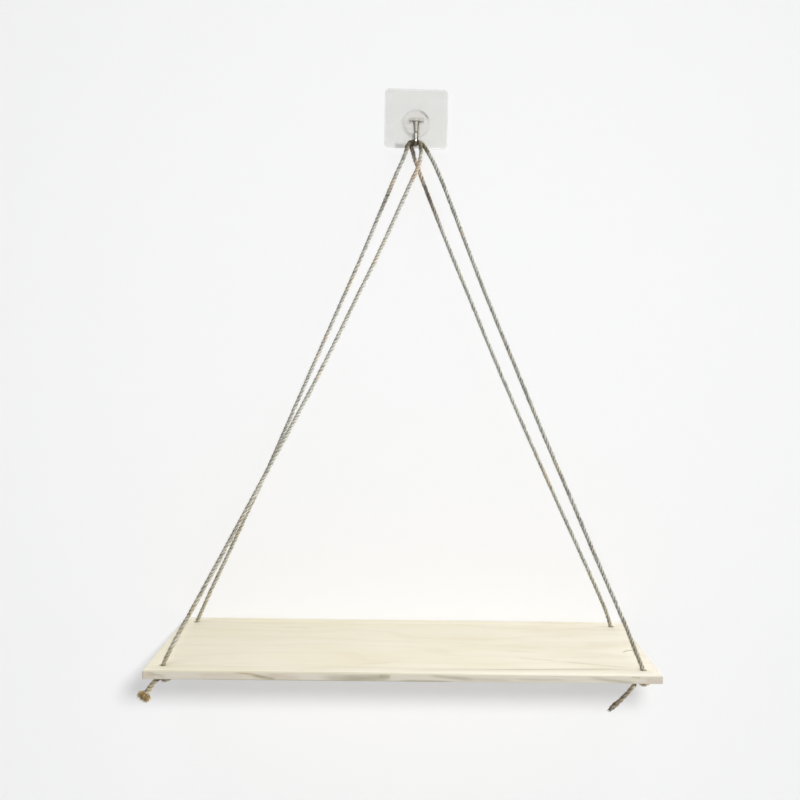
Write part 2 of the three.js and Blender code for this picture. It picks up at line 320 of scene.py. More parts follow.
SEAT = Vector((0, -10, -27))
HOLE_X, HOLE_BACK, HOLE_FRONT = 197, -13, -127
BACK_LEFT_RUN = [
    (-5.2, -11.8, -24.9), (-7.9, -11.8, -28), (-9, -11.8, -33.4), (-12.2, -11.8, -42.2), (-20, -11.9, -60.7),
    (-46.2, -12, -127), (-66, -12.2, -174.4), (-85.8, -12.3, -221.9), (-105.6, -12.4, -269.4),
    (-129.2, -12.6, -326.6), (-154.1, -12.8, -383.8), (-170.9, -12.9, -422), (-183.9, -12.9, -450.7),
    (-189.6, -13, -464.2), (-193.8, -13, -474), (-196.4, -13, -480.4), (-197, -13, -484),
]
FRONT_LEFT_RUN = [
    (4.5, -11.9, -29.5), (5.2, -12.7, -33), (4.9, -14.1, -38), (3.9, -15.9, -44), (2.2, -17.9, -50.5),
    (-2.9, -21.2, -62.3), (-30.5, -38.4, -129.9), (-51.3, -50.2, -176.6), (-71.3, -61.7, -222),
    (-91.9, -72.8, -266.2), (-125.4, -90, -334.5), (-169.2, -112.5, -423.6), (-183.9, -120, -452.6),
    (-190, -123.2, -465.2), (-194, -125.3, -474), (-196.4, -126.7, -480.4), (-197, -127, -484),
]
BACK_RIGHT_RUN = [
    (-4.2, -8.1, -28.8), (-3.1, -8.1, -31.6), (-2.1, -8.2, -35), (-1.2, -8.2, -38.6), (1, -8.2, -44.2),
    (3.4, -8.3, -50.5), (7.3, -8.4, -60.7), (34.3, -9.1, -124.7), (55, -9.6, -171.6), (75.5, -10.2, -218.6),
    (96.8, -10.7, -265.7), (118.9, -11.2, -313), (141.4, -11.7, -360.4), (164.3, -12.2, -407.9),
    (186.9, -12.7, -455.6), (190.9, -12.9, -464.6), (194.3, -13, -474), (196.4, -13, -480.4),
    (197, -13, -484),
]
FRONT_RIGHT_RUN = [
    (5.2, -8.2, -24.7), (8.4, -8.4, -28.2), (11.8, -9.3, -33.4), (16.6, -12.4, -42.2), (24.8, -17.6, -60.8),
    (50.4, -35, -127.6), (68.4, -47, -173.8), (86.8, -58.7, -218.8), (104.9, -70.1, -262.7),
    (122.8, -81.2, -305.4), (140.6, -92.1, -347.1), (157.8, -102.7, -387.8), (175.1, -113, -427.4),
    (185.7, -119.6, -452.4), (190.6, -123.1, -465.2), (194.1, -125.3, -474), (196.4, -126.7, -480.4),
    (197, -127, -484),
]
BACK_LEFT_TAIL = [(-193.5, -20.6, -493.9), (-187, -17.5, -496), (-182, -16, -503), (-179, -15, -512)]
FRONT_LEFT_TAIL = [
    (-200.5, -119.4, -493.9), (-204.8, -122, -496.7), (-208.8, -123, -502.2), (-212.6, -124, -508),
]
BACK_RIGHT_TAIL = [(200.5, -20.6, -493.9), (206, -17, -497), (208.5, -16.5, -505), (209, -16, -514)]
FRONT_RIGHT_TAIL = [
    (193.5, -119.4, -493.9), (189.6, -122.2, -497.7), (181.2, -124.3, -505.8), (170.4, -126, -514.8),
]

# On the hook's seat: half the distance between the two ropes, and the turn of a rope over it
BESIDE = 1.85
BIGHT_WIDTH, BIGHT_HEIGHT, BIGHT_STEPS = 4.15, 3.25, 8

# An overhand knot: a looped ring, left open where the rope comes in from above and where the tail goes out
KNOT_Z, KNOT_REACH, KNOT_WAVE, KNOT_STEPS = -491.95, 4.3, 2, 20
KNOT_OPEN = 0.6
ENTRY_REACH, ENTRY_RISE, ENTRY_ANGLE = 6.15, 5.8, math.radians(-134.3)
ENTRY_SHARES = ((0, 0.21), (0.3, 0.76))


def bight(y, start, end):
    """The turn of a rope over the hook's seat, between two angles in degrees."""
    angles = [math.radians(start + (end - start) * i / BIGHT_STEPS) for i in range(BIGHT_STEPS + 1)]
    return [(BIGHT_WIDTH * math.cos(a), y, SEAT.z + BIGHT_HEIGHT * math.sin(a)) for a in angles]


def knot(hole_x, hole_y, facing, tail):
    """An overhand knot and its tail, from the hole down, turned to face an angle in degrees."""
    turn = math.radians(facing) - ENTRY_ANGLE
    start = Vector((-ENTRY_REACH * math.cos(ENTRY_ANGLE), -ENTRY_REACH * math.sin(ENTRY_ANGLE), ENTRY_RISE))

    def place(p):
        x, y = p[0] - start.x, p[1] - start.y
        return (
            hole_x + x * math.cos(turn) - y * math.sin(turn),
            hole_y + x * math.sin(turn) + y * math.cos(turn),
            KNOT_Z + p[2],
        )

    turns = []
    for i in range(KNOT_STEPS + 1):
        a = KNOT_OPEN + 2 * (math.pi - KNOT_OPEN) * i / KNOT_STEPS
        reach = KNOT_REACH + KNOT_WAVE * math.cos(3 * a)
        turns.append((reach * math.cos(2 * a), reach * math.sin(2 * a), KNOT_WAVE * math.sin(3 * a)))
    first = Vector(turns[0])
    entry = [(*start.xy.lerp(first.xy, s), start.z + (first.z - start.z) * d) for s, d in ENTRY_SHARES]
    return [place(p) for p in [start, *entry, *turns]] + tail


def route_of(back_knot, back_run, over, front_run, front_knot):
    return back_knot[::-1] + back_run[::-1] + over + front_run + front_knot


LEFT_ROUTE = route_of(
    knot(-HOLE_X, HOLE_BACK, -90, BACK_LEFT_TAIL), BACK_LEFT_RUN, bight(SEAT.y - BESIDE, 110, 0),
    FRONT_LEFT_RUN, knot(-HOLE_X, HOLE_FRONT, 90, FRONT_LEFT_TAIL),
)
RIGHT_ROUTE = route_of(
    knot(HOLE_X, HOLE_BACK, -90, BACK_RIGHT_TAIL), BACK_RIGHT_RUN, bight(SEAT.y + BESIDE, 180, 70),
    FRONT_RIGHT_RUN, knot(HOLE_X, HOLE_FRONT, 90, FRONT_RIGHT_TAIL),
)

SPLINE_STEPS = 24
ROPE_STEP = 0.75


def smooth_line(points, spacing):
    """A centripetal spline through the points in even steps: its places, directions, sides and length."""
    p = np.array(points, float)
    p = np.vstack([2 * p[0] - p[1], p, 2 * p[-1] - p[-2]])
    fine = []
    for a, b, c, d in zip(p, p[1:], p[2:], p[3:]):
        t0, t1, t2 = (max(np.linalg.norm(v), 1e-6) ** 0.5 for v in (b - a, c - b, d - c))
        start = ((b - a) / t0 - (c - a) / (t0 + t1) + (c - b) / t1) * t1
        end = ((c - b) / t1 - (d - b) / (t1 + t2) + (d - c) / t2) * t1
        for t in np.linspace(0, 1, SPLINE_STEPS, endpoint=False):
            h = (2 * t**3 - 3 * t**2 + 1, t**3 - 2 * t**2 + t, -2 * t**3 + 3 * t**2, t**3 - t**2)
            fine.append(h[0] * b + h[1] * start + h[2] * c + h[3] * end)
    fine = np.array(fine + [p[-2]])
    along = np.concatenate([[0], np.cumsum(np.linalg.norm(np.diff(fine, axis=0), axis=1))])
    count = round(along[-1] / spacing)
    even = np.linspace(0, along[-1], count + 1)
    line = np.stack([np.interp(even, along, fine[:, k]) for k in range(3)], axis=1)
    ahead = np.gradient(line, axis=0)
    ahead /= np.linalg.norm(ahead, axis=1)[:, None]

    # each side is the one before it, made square to the new direction, so that the rope gains no turn
    side = np.cross(ahead[0], (0, 0, 1.0))
    sides = []
    for direction in ahead:
        side = side - direction * side.dot(direction)
        side /= np.linalg.norm(side)
        sides.append(side)
    return line, ahead, np.array(sides), along[-1]


# Jute rope


def rope_marks(look, colour, x, y, z, patch, smudge):
    """Colour by place along the ropes, in mm: darker and more olive over the hook, tan at the crossing,
    browner above and below it, paler on one run, warmer by the board, and the tails' own tones.
    """
    left, down, forward = -x, -z, -y
    over_hook = look.step(z, -38, -29, True)
    near_middle = look.step(-(x * x), -90, -60)
    crossing = look.step(z, -70, -56, True) * look.step(down, 36, 46, True) * near_middle
    inner_left = look.step(z, -52, -44, True) * look.step(down, 28, 34, True)
    inner_left = inner_left * look.step(left, 1, 4) * look.step(x, -9, -6)
    below_crossing = look.step(z, -110, -84, True) * look.step(down, 58, 68, True)
    below_crossing = below_crossing * look.step(x, 3, 6) * look.step(y, -12, -11)
    pale_run = look.step(forward, 18, 30) * look.step(left, 0, 10) * look.step(z, -420, -300)
    by_board = look.step(left, -160, -60).math("MAXIMUM", look.step(down, 420, 465))
    warm = look.step(down, 260, 480) * by_board * (0.4 + look.step(patch, 0.4, 0.6) * 0.3)
    front = look.step(forward, 95, 118)
    right_tail = look.step(down, 495, 504) * front * look.step(x, 160, 170)
    left_tail = look.step(down, 488, 493) * front * look.step(x, -207, -202) * look.step(left, 0, 10)
    return look.coats(
        colour,
        (pale_run * 0.3, (226, 224, 210)),
        (over_hook * 0.85, (112, 99, 62)),
        (inner_left * 0.6, (166, 132, 106)),
        (crossing * 0.65, (214, 186, 156)),
        (below_crossing * 0.6, (128, 106, 86)),
        (warm, (176, 160, 118)),
        (right_tail * 0.45, (112, 106, 88)),
        (right_tail * look.step(smudge, 0.42, 0.55) * 0.55, (146, 100, 76)),
        (left_tail * 0.55, (126, 112, 98)),
    )


def jute_look(name, light, dark, golden, marked=True):
    """Jute yarn. A rope's u counts its strands, with a groove at each whole number, and its v is in mm."""
    look = Look(name, Roughness=0.9, Specular_IOR_Level=0.12, Sheen_Weight=0.3, Sheen_Roughness=0.6)
    light, dark, golden = linear(*light), linear(*dark), linear(*golden)
    bright = shade(light, 1.3)
    u, v = look.lay()
    x, y, z = look.place()
    here = look.at(x, y, z)
    inward = (u.math("FRACT") - 0.5).math("ABSOLUTE") * -2
    # painted shade: 1 in the grooves between the strands, which are darkened below
    groove = look.step(inward, -0.8, -0.4, True)
    yarn = look.noise(look.at(u * 9 + v * 0.9, v * 0.35, 0.0), 1.0, 4, 0.65)
    patch = look.noise(here, 0.05, 2, 0.6)
    smudge = look.noise(here, 0.17, 2, 0.6)
    fleck = look.noise(here, 0.55, 3, 0.65)
    colour = look.ramp(yarn, (0.28, dark), (0.52, light), (0.72, bright))
    colour = look.blend(look.step(patch, 0.56, 0.72) * 0.55, colour, golden)
    colour = look.blend(look.step(fleck, 0.5, 0.72) * 0.5, colour, dark)
    colour = look.blend(look.step(-fleck, -0.44, -0.28) * 0.5, colour, bright)
    colour = look.blend(look.step(smudge, 0.5, 0.66, True) * 0.5, colour, shade(dark, 0.6))
    if marked:
        colour = rope_marks(look, colour, x, y, z, patch, smudge)
    # painted shade in the grooves between the strands
    look.set(Base_Color=look.coats(colour, (groove * 0.4, (94, 90, 78))))
    return look.bump(yarn * 0.7 + fleck * 0.4, 0.25, 0.9)


JUTE = jute_look("jute", (212, 211, 201), (158, 156, 144), (224, 200, 164))
JUTE_FIBRE = jute_look("jute_fibre", (226, 223, 210), (188, 183, 166), (232, 208, 172))
JUTE_GOLD = jute_look("jute_golden_end", (226, 190, 118), (112, 80, 42), (236, 208, 150), marked=False)

# A strand's middle line and thickness, the length of one turn, and the corners of its flattened round
STRAND_OFFSET, STRAND_RADIUS, STRAND_WIDTH_SHARE, ROPE_TWIST = 0.93, 0.86, 1.12, 11.5
STRAND_ANGLES = [math.radians(a) for a in (0, 30, 60, 95, 135, 180, 225, 265, 300, 330)]

# How a strand wavers: how often per mm, how far off the next strand's pattern is, and what it does
UNEVEN_RATE, UNEVEN_NEXT, UNEVEN_TURN = 0.11, 7.3, 0.5
ROUGH_RATE, ROUGH_NEXT, WAVER_SHARE = 0.8, 3.1, 0.1
SLACK_RATE, SLACK_ROW, SLACK_TURN = 0.035, 40.5, 2.2

# A rope opens up towards a cut end, narrows at its very tip, and is a little fuller round the hook
OPENING_LENGTH, TIP_LENGTH, TIP_SHARE = 20, 3.5, 0.45
HOOK_SWELL, HOOK_SWELL_LENGTH = 0.14, 105

# A fibre is a thin tube with three corners, which bends and strays as it goes
FIBRE_ANGLES, FIBRE_PARTS, FIBRE_TAPER, FIBRE_BEND, FIBRE_STRAY = (0, 2.09, 4.19), 3, 0.2, 0.3, 0.1

# The hairs along a rope: how many, how far out they start, and the ranges that they are drawn from
HAIRS_ON_ROPE, HAIR_MARGIN, HAIR_START = 8500, 4, 1.45
HAIR_LIFT, HAIR_LENGTH, HAIR_BEND, HAIR_RADIUS = (0.15, 0.7), (1.4, 3.4), (-1.1, 0.4), (0.045, 0.08)

# The fibres of a cut end: how deep they start, their share of its length, their thickness and bend
TUFT_DEPTH, TUFT_LENGTH_SHARE, TUFT_RADIUS, TUFT_BEND = (0.2, 3.6), (0.55, 1.05), (0.1, 0.2), -0.25

CutEnd = namedtuple("CutEnd", "name look hair_length spread hairs width swell")


def opening(rest, swell):
    """How much a rope has opened up this far from its cut end, as a factor."""
    t = min(1.0, max(0.0, rest / OPENING_LENGTH))
    return 1 + (swell - 1) * (1 - t * t * (3 - 2 * t))


def rope_strands(bm, line, ahead, sides, length, swells, seed):
    """Three strands laid round the line, each a little uneven, opened up towards the cut ends."""
    ups = np.cross(ahead, sides)
    step = length / (len(line) - 1)
    for strand in range(3):
        rings = []
        for i in range(len(line)):
            s = i * step
            uneven = noise.noise(Vector((s * UNEVEN_RATE, strand * UNEVEN_NEXT, seed)))
            rough = noise.noise(Vector((s * ROUGH_RATE, strand * ROUGH_NEXT, seed + 5)))
            slack = noise.noise(Vector((s * SLACK_RATE, SLACK_ROW, seed)))
            tip = min(1.0, TIP_SHARE + min(s, length - s) / TIP_LENGTH)
            over_hook = math.exp(-(((s - length / 2) / HOOK_SWELL_LENGTH) ** 2))
            swell = opening(s, swells[0]) * opening(length - s, swells[1]) * (1 + HOOK_SWELL * over_hook)
            angle = 2 * math.pi * (s / ROPE_TWIST + strand / 3) + UNEVEN_TURN * uneven + SLACK_TURN * slack
            outward = math.cos(angle) * sides[i] + math.sin(angle) * ups[i]
            around = -math.sin(angle) * sides[i] + math.cos(angle) * ups[i]
            middle = line[i] + outward * STRAND_OFFSET * tip * swell * (1 + WAVER_SHARE * uneven)
            full = STRAND_RADIUS * swell * (1 + WAVER_SHARE * (uneven + rough))
            radius = full * (1 - TIP_SHARE + TIP_SHARE * tip)
            wide = STRAND_WIDTH_SHARE * around
            ring = [middle + radius * (math.cos(a) * outward + math.sin(a) * wide) for a in STRAND_ANGLES]
            rings.append([Vector(p) * MM for p in ring])
        skin_rings(bm, rings, lambda row, column: (column / len(STRAND_ANGLES) + strand, row * step))


def fibre(bm, start, direction, length, bend, radius, chance):
    """One thin tube of fibre."""
    heading = Vector(direction).normalized()
    place = Vector(start)
    step = length / FIBRE_PARTS
    rings = []
    for k in range(FIBRE_PARTS + 1):
        across = heading.orthogonal().normalized()
        other = heading.cross(across)
        size = radius * (1 - FIBRE_TAPER * k)
        ring = [place + size * (math.cos(a) * across + math.sin(a) * other) for a in FIBRE_ANGLES]
        rings.append([p * MM for p in ring])
        place = place + heading * step
        stray = Vector([chance.gauss(0, FIBRE_STRAY) for _ in range(3)])
        heading = (heading + Vector(bend) * FIBRE_BEND + stray).normalized()
    skin_rings(bm, rings, lambda row, column: (column / len(FIBRE_ANGLES), row * step))


def rope_fuzz(bm, line, ahead, sides, chance):
    """Short hairs that stand off the rope all along it."""
    ups = np.cross(ahead, sides)
    for _ in range(HAIRS_ON_ROPE):
        i = chance.randrange(HAIR_MARGIN, len(line) - HAIR_MARGIN)
        angle = chance.uniform(0, 2 * math.pi)
        outward = Vector(math.cos(angle) * sides[i] + math.sin(angle) * ups[i])
        forward = Vector(ahead[i]) * chance.choice((-1, 1))
        start = Vector(line[i]) + outward * HAIR_START
        heading = forward + outward * chance.uniform(*HAIR_LIFT)
        length = chance.uniform(*HAIR_LENGTH)
        bend = outward * chance.uniform(*HAIR_BEND)
        fibre(bm, start, heading, length, bend, chance.uniform(*HAIR_RADIUS), chance)


def tuft(bm, tip, direction, end, chance):
    """The splayed fibres of a cut end."""
    heading = Vector(direction).normalized()
    across = heading.orthogonal().normalized()
    other = heading.cross(across)
    for _ in range(end.hairs):
        angle, reach = chance.uniform(0, 2 * math.pi), chance.random() ** 0.5
        outward = math.cos(angle) * across + math.sin(angle) * other
        start = Vector(tip) + outward * end.width * reach - heading * chance.uniform(*TUFT_DEPTH)
        go = heading + outward * end.spread * reach
        radius = chance.uniform(*TUFT_RADIUS)
        length = end.hair_length * chance.uniform(*TUFT_LENGTH_SHARE)
        fibre(bm, start, go, length, outward * TUFT_BEND * end.spread, radius, chance)


ROPE_PIECES = []


def make_rope(name, route, nodes, cut_ends, seed):
    """A rope with both its knots and tails as one length, its loose hairs and its splayed ends."""
    line, ahead, sides, length = smooth_line(route, ROPE_STEP)
    chance = random.Random(seed)
    swells = [end.swell for end in cut_ends]

    def strands(bm):
        rope_strands(bm, line, ahead, sides, length, swells, seed)

    def hairs(bm):
        rope_fuzz(bm, line, ahead, sides, chance)

    rope = make_piece(name + "_strands", strands, JUTE, "shelf")
    loose = [make_piece(name + "_hairs", hairs, JUTE_FIBRE, "shelf")]
    for end, tip, away in zip(cut_ends, (line[0], line[-1]), (-ahead[0], ahead[-1])):

        def splay(bm):
            tuft(bm, tip, away, end, chance)

        loose.append(make_piece(end.name, splay, end.look, "shelf"))
    ROPE_PIECES.extend([rope, *loose])
    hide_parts(*nodes)

    # the cord begins where its first tail leaves the knot
    return length


left_length = make_rope(
    "left_rope", LEFT_ROUTE, ("left_rope", "back_left_knot", "front_left_knot"),
    (
        CutEnd("back_left_cut_end", JUTE_FIBRE, 2.2, 0.35, 60, 1.0, 1.05),
        CutEnd("front_left_cut_end", JUTE_GOLD, 5.4, 1.6, 620, 2.3, 1.5),
    ), seed=3,
)
right_length = make_rope(
    "right_rope", RIGHT_ROUTE, ("right_rope", "back_right_knot", "front_right_knot"),
    (
        CutEnd("back_right_cut_end", JUTE_FIBRE, 2.2, 0.35, 60, 1.0, 1.05),
        CutEnd("front_right_cut_end", JUTE_FIBRE, 3.0, 0.2, 110, 1.1, 1.3),
    ), seed=4,
)
print("rope lengths in mm", round(left_length, 1), round(right_length, 1))


# Board, with its sizes in mm

HOLES = [(x, y) for x in (-HOLE_X, HOLE_X) for y in (HOLE_BACK, HOLE_FRONT)]
HOLE_RADIUS, HOLE_CORNERS = 2.6, 40
ARRIS, HOLE_ARRIS, ARRIS_ANGLE = 0.9, 0.35, 40
BOARD_TOP, RING_SPACING = -481, 10.5


def board_shape(bm):
    """The board with its four drilled holes, every arris eased."""
    low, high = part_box("board")
    bmesh.ops.create_grid(bm, x_segments=1, y_segments=1, size=0.5)
    bmesh.ops.delete(bm, geom=bm.faces[:], context="FACES_ONLY")
    bmesh.ops.scale(bm, vec=high - low, verts=bm.verts)
    bmesh.ops.translate(bm, vec=(low + high) / 2, verts=bm.verts)
    for x, y in HOLES:
        place = Matrix.Translation((x * MM, y * MM, (low.z + high.z) / 2))
        bmesh.ops.create_circle(bm, segments=HOLE_CORNERS, radius=HOLE_RADIUS * MM, matrix=place)
    for vert in bm.verts:
        vert.co.z = low.z
    bmesh.ops.triangle_fill(bm, edges=bm.edges[:], use_beauty=True, normal=(0, 0, 1))
    raise_faces(bm, bm.faces[:], (0, 0, high.z - low.z))

    def is_sharp(edge):
        return len(edge.link_faces) == 2 and edge.calc_face_angle() > math.radians(ARRIS_ANGLE)

    def near_hole(edge):
        middle = (edge.verts[0].co + edge.verts[1].co) / 2
        return any(math.hypot(middle.x - x * MM, middle.y - y * MM) < 2 * HOLE_RADIUS * MM for x, y in HOLES)

    sharp = [e for e in bm.edges if is_sharp(e)]
    rims = [e for e in sharp if near_hole(e)]
    ease(bm, [e for e in sharp if not near_hole(e)], ARRIS * MM, 4)
    ease(bm, [e for e in rims if e.is_valid], HOLE_ARRIS * MM, 2)


# Grain that stands out on the board's top: start x, y and end x, y, half width, strength
TOP_LINES = [
    (-6, -133.2, 88, -129.4, 0.9, 0.5),
    (60, -130.3, 192, -125.2, 1.2, 0.95),
    (-80, -128.5, 4, -124.5, 0.9, 0.3),
    (-42, -121.5, -8, -115.5, 1.2, 0.32),
    (92, -101.5, 132, -108.5, 1.3, 0.42),
    (128, -108, 192, -124.6, 1.4, 0.45),
    (86, -84, 118, -88, 1.6, 0.22),
    (-118, -26, -84, -30, 1.6, 0.3),
    (150, -22, 185, -20, 1.2, 0.2),
]

# The small curved mark by the right rope: its stroke as above, its middle x, and how much it bows
CURVED_STROKE, CURVED_MIDDLE, CURVED_BOW = (189, -81, 202, -79, 1), 198, 0.3

# Marks on the front edge: start x, depth and end x, depth below the top, half width, strength, tone
TAN, OLIVE, RED = (164, 138, 98), (142, 133, 108), (184, 156, 134)
FRONT_MARKS = [
    (-140, 0.4, -108, 5.4, 1.1, 0.8, TAN),
    (-124, 3.0, -102, 6.6, 1.2, 0.75, OLIVE),
    (-168, 3.6, -126, 3.2, 2.6, 0.25, RED),
    (-114, 2.8, -82, 4.2, 2.2, 0.35, RED),
    (-72, 4.2, -9, 3.6, 2.9, 0.5, OLIVE),
    (-54, 3.6, -9, 3.6, 2.6, 0.4, OLIVE),
    (-22, 2.2, -11, 2.8, 1.9, 0.65, OLIVE),
    (-12, 6.3, 46, 6.6, 0.7, 0.7, OLIVE),
    (16, 0.8, 60, 5.4, 1.4, 0.5, OLIVE),
    (34, 3.0, 92, 4.8, 1.2, 0.3, OLIVE),
    (84, 2.8, 134, 4.2, 0.9, 0.35, OLIVE),
    (146, 1.6, 190, 6.4, 1.3, 0.5, OLIVE),
    (183, 0.6, 192, 1.6, 0.8, 0.6, TAN),
    (194, 3.2, 212, 3.4, 3.0, 0.35, RED),
    (-212, 3.4, -198, 3.8, 2.6, 0.45, RED),
    (-208, 1.2, -190, 5.4, 1.2, 0.4, OLIVE),
]

STREAK_FADE = 0.25

Grain = namedtuple("Grain", "x y depth ring late fibres pores clouds")


def soft_line(look, off, along, start, end, fade):
    """1 where off is 0, along a line from start to end that fades at both."""
    ends = look.step(along, start, start + fade, True) * look.step(-along, -end, fade - end, True)
    return (off * off * -1).math("EXPONENT") * ends


def streak(look, across, up, x0, y0, x1, y1, half):
    """1 along a soft stroke from one point to another, 0 away from it. Lengths in mm."""
    span = math.hypot(x1 - x0, y1 - y0)
    dx, dy = (x1 - x0) / span, (y1 - y0) / span
    along = (across - x0) * dx + (up - y0) * dy
    aside = ((up - y0) * dx - (across - x0) * dy) / half
    return soft_line(look, aside, along, 0, span, STREAK_FADE * span)


def late_wood(look, ring, start, full, end):
    """1 in the dark late wood of each growth ring, which builds up slowly and ends at once."""
    share = ring.math("FRACT")
    return look.step(share, start, full, True) * (1 - look.step(share, end, 1.0))


def pine_grain(look):
    """The wood's patterns. A slow wander bends the growth rings, which run along the board as sheets."""
    x, y, z = look.place()
    wander = look.noise(look.at(x * 0.006, y * 0.022, z * 0.022), 1.0, 2, 0.5)
    drift = look.noise(look.at(x * 0.0028, y * 0.009, z * 0.009 + 5), 1.0, 1, 0.5)
    ring = (y * 0.55 + z * 1.3 + wander * 34 + drift * 46) / RING_SPACING
    return Grain(
        x=x, y=y, depth=-(z - BOARD_TOP), ring=ring,
        late=late_wood(look, ring, 0.5, 0.94, 0.95),
        fibres=look.noise(look.at(x * 0.035, y * 1.9, z * 1.9), 1.0, 4, 0.6),
        pores=look.noise(look.at(x * 0.22, y * 5.5, z * 5.5), 1.0, 2, 0.6),
        clouds=look.noise(look.at(x * 0.011, y * 0.034, z * 0.05 + 9), 1.0, 3, 0.55),
    )


def planed_wood(look, grain):
    """The pale planed wood, a touch greyer at the board's left end and warmer at its right."""
    base = look.ramp(
        look.step(grain.x, -210, 210),
        (0.0, linear(235, 229, 208)), (0.3, linear(237, 231, 211)),
        (0.62, linear(240, 234, 214)), (1.0, linear(250, 243, 226)),
    )
    return look.coats(
        base,
        (look.step(grain.clouds, 0.42, 0.68, True) * 0.55, (234, 225, 198)),
        (look.step(-grain.clouds, -0.4, -0.25, True) * 0.5, (244, 238, 224)),
        (grain.late * 0.14, (214, 202, 168)),
        (look.step(grain.fibres, 0.5, 0.75) * 0.22, (214, 203, 176)),
        (look.step(-grain.fibres, -0.42, -0.28) * 0.3, (249, 244, 230)),
    )


def top_marks(look, grain, colour):
    """The grain lines by the front edge, a painted highlight on the pale strip before the arris, painted
    shade on the arris, and the curved mark.
    """
    x, y, depth = grain.x, grain.y, grain.depth
    on_top = look.step(depth, 0.9, 0.1)
    lines = total(streak(look, x, y, *stroke) * strength for *stroke, strength in TOP_LINES)
    rightward = look.step(x, -70, 110, True)
    # painted highlight: the strip before the front arris catching the light, stronger to the right
    strip = look.step(-y, 133.5, 136.5, True) * on_top
    # painted shade on the front arris, strongest at the left, to dim its highlight there
    arris = look.step(-y, 138.6, 139.3) * look.step(-depth, -1.3, -0.8)
    bow = (x - CURVED_MIDDLE) * CURVED_BOW
    curved = streak(look, x, y + bow * bow, *CURVED_STROKE)
    return look.coats(
        colour,
        ((lines * on_top).math("MINIMUM", 1.0), (203, 197, 172)),
        (strip * (0.1 + rightward * 0.45), (250, 246, 230)),
        (arris * (0.75 - rightward * 0.5), (206, 198, 174)),
        (curved * on_top * 0.8, (176, 165, 132)),
    )


def front_edge(look, grain, colour):
    """The sawn front edge, coloured darker than the top as painted shade, with its own streaks."""
    x, depth, fibres = grain.x, grain.depth, grain.fibres
    worn = 0.55 + look.step(fibres, 0.36, 0.6) * 0.45
    bent = depth + (grain.clouds - 0.5) * 5 + (grain.pores - 0.5) * 0.9
    marks = []
    for *stroke, strength, tone in FRONT_MARKS:
        marks.append((streak(look, x, bent, *stroke) * worn * strength, tone))
    # painted shade: a dark line along the front edge's lower arris
    low_arris_shade = look.step(depth, 5.9, 6.6) * look.step(x, -175, -140, True) * look.step(-x, -40, -5, True)
    left_corner = look.step(-x, 208.6, 209.6)
    return look.coats(
        colour,
        # painted shade: the whole front edge darker than the top
        (0.8, (204, 199, 186)),
        (look.step(fibres, 0.42, 0.66) * 0.35, (184, 175, 154)),
        *marks,
        (low_arris_shade * 0.6, (150, 137, 108)),
        (left_corner * 0.5, (150, 142, 126)),
    )


def other_edges(look, grain):
    """The plain back edge and underside, and the end grain on the board's two ends."""
    plain = look.coats(linear(222, 212, 188), (look.step(grain.fibres, 0.4, 0.7) * 0.5, (198, 184, 152)))
    growth = late_wood(look, grain.ring * 2.6 + (grain.pores - 0.5) * 0.25, 0.35, 0.9, 0.92)
    ends = look.coats(
        linear(226, 214, 188),
        (growth * 0.55, (182, 156, 116)),
        (look.step(grain.pores, 0.45, 0.7) * 0.35, (170, 148, 116)),
    )
    return look.blend(look.step(grain.x * grain.x, 209.1**2, 209.8**2), plain, ends)


def hole_dirt_and_shade(look, grain, hole_x, hole_y):
    """1 on the rim of a hole: rubbed dirt, with painted shade where the rim drops into the hole."""
    dx, dy = grain.x - hole_x, grain.y - hole_y
    reach = (dx * dx + dy * dy).math("SQRT") + (grain.pores - 0.5) * 0.8
    return look.step(-reach, -3.4, -2.6, True)


def pine_look():
    look = Look("pine", Specular_IOR_Level=0.3)
    grain = pine_grain(look)
    top = top_marks(look, grain, planed_wood(look, grain))
    on_edge = look.step(grain.depth, 0.5, 1.1)
    on_front = look.step(-grain.y, 138.9, 139.5) * on_edge
    colour = look.blend(on_edge, top, other_edges(look, grain))
    colour = look.blend(on_front, colour, front_edge(look, grain, top))
    # hole rims darker: dirt, with painted shade
    colour = look.coats(colour, *[(hole_dirt_and_shade(look, grain, *hole) * 0.5, (168, 154, 122)) for hole in HOLES])
    look.set(Base_Color=colour, Roughness=0.55 + grain.pores * 0.22)
    return look.bump(grain.fibres * 0.6 + grain.pores * 0.25 + grain.late * 0.3, 0.12, 0.35)


board = make_piece("pine_board", board_shape, pine_look(), "shelf")
finish_edges(board, 32)
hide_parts("board")


# Clear plastic: the wall plate, its film and the dome cap, with their sizes in mm

PLASTIC_IOR = 1.49
CORNER_STEPS, RIM_STEPS, DOME_STEPS, DOME_ROUND_STEPS, BAR_CORNERS = 12, 3, 96, 17, 40
ON_FACE = 0.01
PLATE_CORNER, PLATE_RIM, FILM_CORNER, FILM_RIM = 4, 0.5, 3, 0.15
CAP_RADIUS, CAP_HEIGHT, CAP_ROUND, CAP_DROP, CAP_FOOT = 13, 7.2, 4.2, 5.5, 0.3
PLATE_FRONT = -2.3
HEAD = Vector((0, -4.6, -2)) * MM
POCKET_RADIUS, POCKET_LENGTH, POCKET_DEPTH = 2.3, 15, 7.2
SLOT_HALF, SLOT_SIDE, SLOT_REACH, SLOT_SWING = 1.7, 3.6, 26, math.radians(60)

# Painted reflections in the cap, grey lines along its rim: on a ring, as radius, half width, start and end
# angle, strength
CAP_REFLECTION_ARCS = [
    (12.2, 0.7, 0.3, 1.4, 1.0),
    (12.4, 0.45, 1.3, 2.1, 0.6),
    (11.6, 0.5, -2.9, -1.8, 0.6),
]

# Level painted shade lines, under the T head and across the cap's left: as height over the cap's middle, half
# width, left and right end, strength
CAP_SHADE_LINES = [
    (0.6, 0.7, -13, -4, 0.45),
    (-2.2, 0.6, -12.5, -5, 0.25),
    (1.5, 0.45, -7.4, -1.4, 1.1),
    (1.5, 0.45, 1.2, 7.0, 1.1),
]
ARC_FADE, LINE_FADE = 0.22, 1.5


